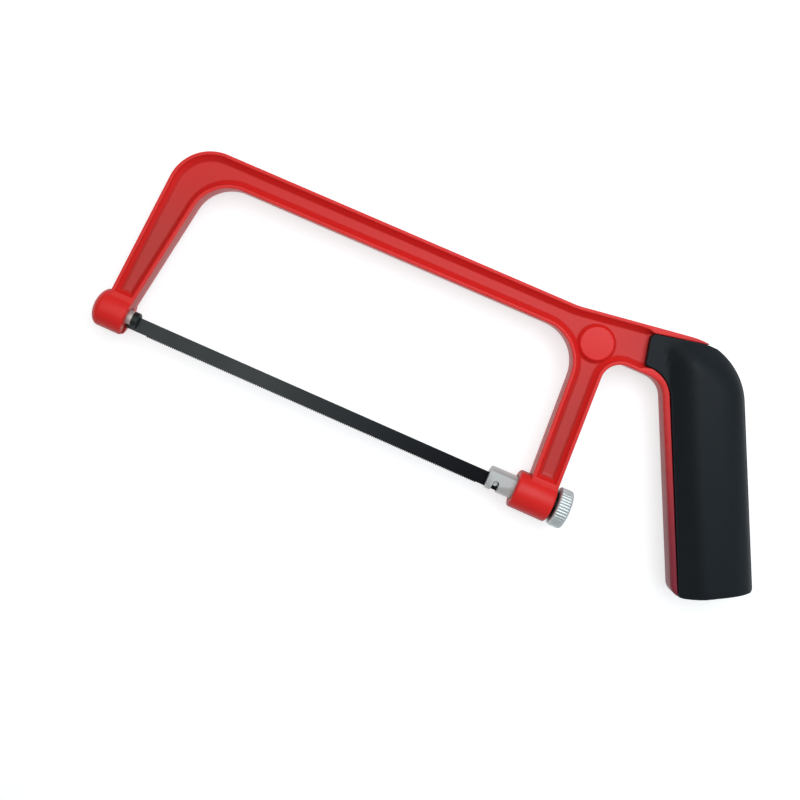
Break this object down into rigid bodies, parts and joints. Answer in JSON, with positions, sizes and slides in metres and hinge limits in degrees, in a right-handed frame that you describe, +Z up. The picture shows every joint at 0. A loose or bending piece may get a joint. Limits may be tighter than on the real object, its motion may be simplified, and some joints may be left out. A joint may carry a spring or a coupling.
{
  "type": "junior hacksaw",
  "caption": "Small hacksaw with a red cast bow frame, a black pistol grip and a pinned fine-tooth blade tightened by a knurled knob.",
  "frame": {"origin": "centre of the plan outline, on the surface that the saw lies on", "axes": "+X along the blade from the front of the frame to the handle, +Y from the teeth towards the spine, +Z up, from the side with the screw heads to the plain side"},
  "size_m": [0.2684, 0.0912, 0.023],
  "materials": {
    "red_paint": "glossy bright red paint on cast metal",
    "black_rubber": "fine satin black",
    "blue_black_steel": "blued, with a thin film of oil",
    "zinc_plate": "satin zinc plate",
    "bright_steel": "turned bright steel"
  },
  "bodies": {
    "frame": {"frame": "red_paint", "front_stud": "bright_steel", "front_stud_pin": "zinc_plate", "thrust_washer": "blue_black_steel", "grip_shell_left": "black_rubber", "grip_shell_right": "black_rubber", "grip_screw_top": "zinc_plate", "grip_screw_middle": "zinc_plate", "grip_screw_bottom": "zinc_plate"},
    "tension_knob": {"tension_knob": "zinc_plate"},
    "tension_stud": {"tension_stud": "bright_steel"},
    "blade": {"blade": "blue_black_steel", "blade_pin_front": "bright_steel", "blade_pin_rear": "bright_steel"}
  },
  "joints": [
    {"name": "knob_turn", "type": "hinge", "parent": "frame", "child": "tension_knob", "pos_m": [0.05789, -0.03358, 0.0115], "axis": [1, 0, 0], "range_deg": [0, 720]},
    {"name": "stud_slide", "type": "slide", "parent": "frame", "child": "tension_stud", "axis": [-1, 0, 0], "range_m": [0, 0.0016]},
    {"name": "blade_lift", "type": "slide", "parent": "tension_stud", "child": "blade", "axis": [0, -1, 0], "range_m": [0, 0.008]}
  ],
  "couplings": [
    {"joint": "knob_turn", "follows": "stud_slide", "rad_per_m": 7854}
  ]
}
